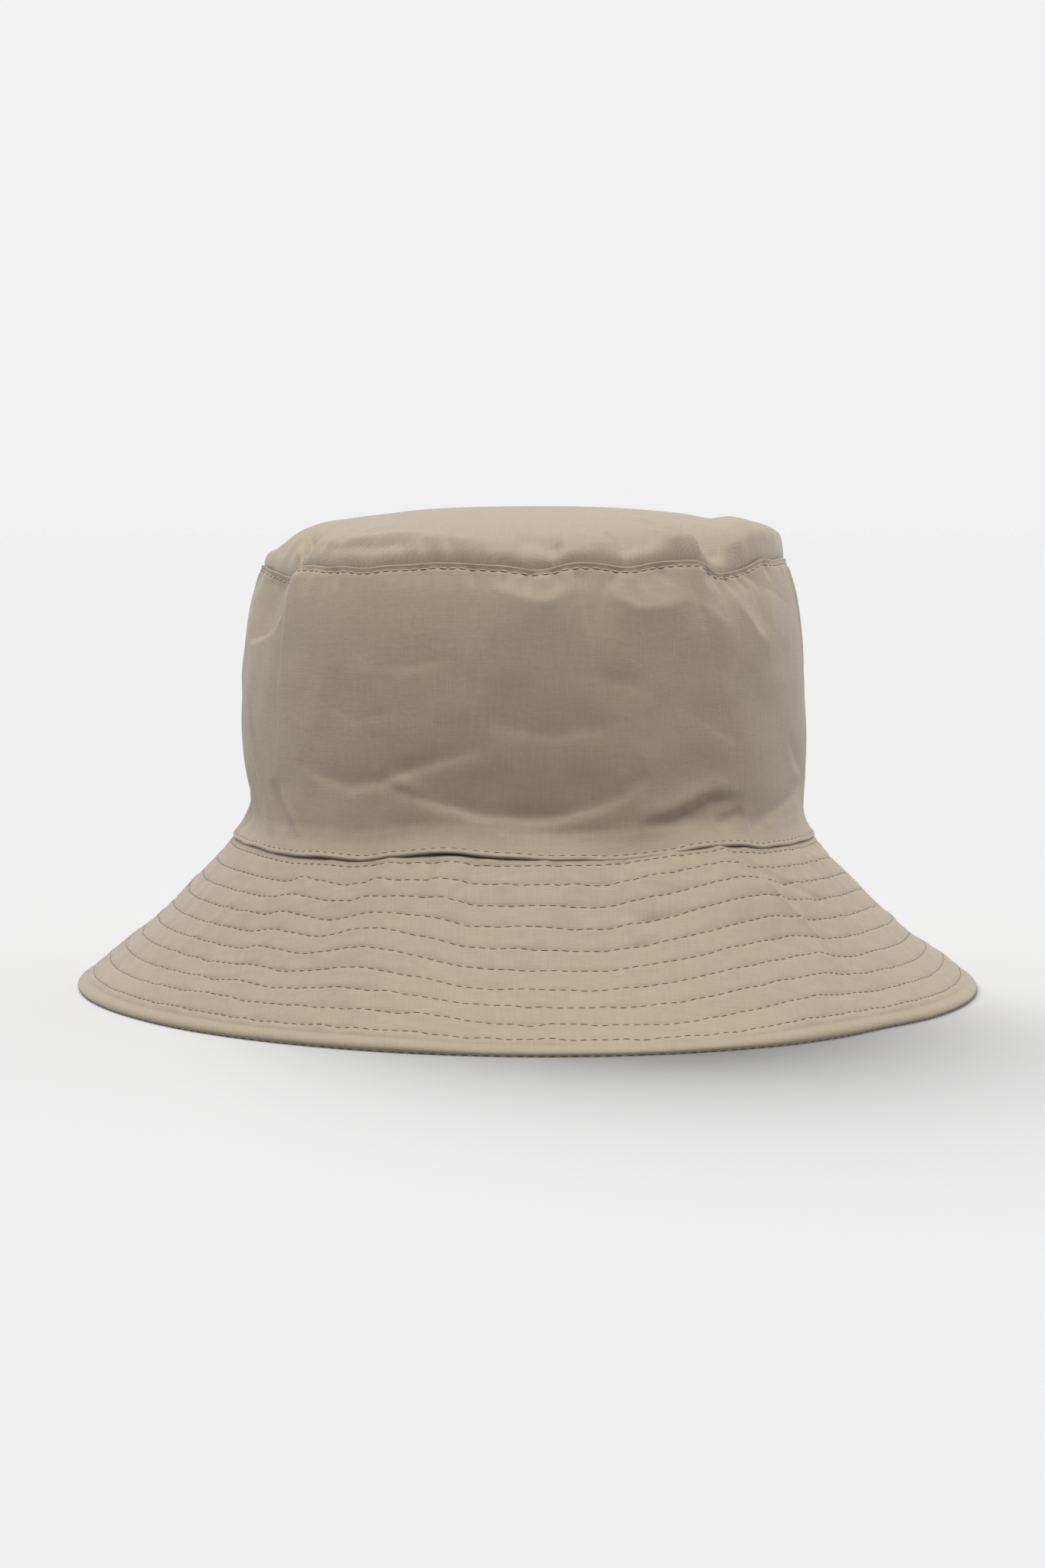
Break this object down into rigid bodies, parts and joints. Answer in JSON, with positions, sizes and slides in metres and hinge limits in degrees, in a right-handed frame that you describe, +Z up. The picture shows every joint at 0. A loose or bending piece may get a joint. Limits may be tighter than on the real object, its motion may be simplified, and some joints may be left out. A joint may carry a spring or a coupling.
{
  "type": "bucket hat",
  "caption": "Soft bucket hat: oval crown of tip and side panels, wide sloping brim sewn with concentric stitching, lining, sweatband and sewn labels inside.",
  "frame": {"origin": "on the surface that the hat stands on, under the middle of the brim", "axes": "+Z up through the crown, -Y towards the front panel, +X towards the seam on the wearer's left, as the front panel is looked at"},
  "size_m": [0.3024, 0.3144, 0.1605],
  "materials": {
    "shell_fabric": "khaki glazed cotton poplin with a soft sheen",
    "underside_fabric": "khaki cotton poplin, matt",
    "stiffener_canvas": "undyed woven interlining",
    "lining_fabric": "thin plain cotton",
    "sweatband_twill": "soft cotton twill tape",
    "seam_thread": "twisted polyester thread, tone on tone",
    "brim_thread": "fine olive brown thread",
    "label_satin": "blank woven satin tape"
  },
  "bodies": {
    "hat": {"crown_tip": "shell_fabric", "crown_side_front": "shell_fabric", "crown_side_back": "shell_fabric", "brim_top_front": "shell_fabric", "brim_top_back": "shell_fabric", "brim_stiffener_front": "stiffener_canvas", "brim_stiffener_back": "stiffener_canvas", "brim_under_front": "underside_fabric", "brim_under_back": "underside_fabric", "tip_lining": "lining_fabric", "side_lining_front": "lining_fabric", "side_lining_back": "lining_fabric", "sweatband": "sweatband_twill", "size_label": "label_satin", "tip_seam_stitching": "seam_thread", "crown_hem_stitching": "brim_thread", "brim_stitch_row_01": "brim_thread", "brim_stitch_row_02": "brim_thread", "brim_stitch_row_03": "brim_thread", "brim_stitch_row_04": "brim_thread", "brim_stitch_row_05": "brim_thread", "brim_stitch_row_06": "brim_thread", "brim_stitch_row_07": "brim_thread", "brim_stitch_row_08": "brim_thread", "brim_stitch_row_09": "brim_thread", "brim_stitch_row_10": "brim_thread", "brim_edge_stitching": "brim_thread", "sweatband_stitching": "seam_thread"},
    "care_label_flap": {"care_label": "label_satin"}
  },
  "joints": [
    {"name": "care_label_hinge", "type": "hinge", "parent": "hat", "child": "care_label_flap", "pos_m": [-0.08702, 0, 0.07902], "axis": [0, -1, 0], "range_deg": [0, 150]}
  ]
}
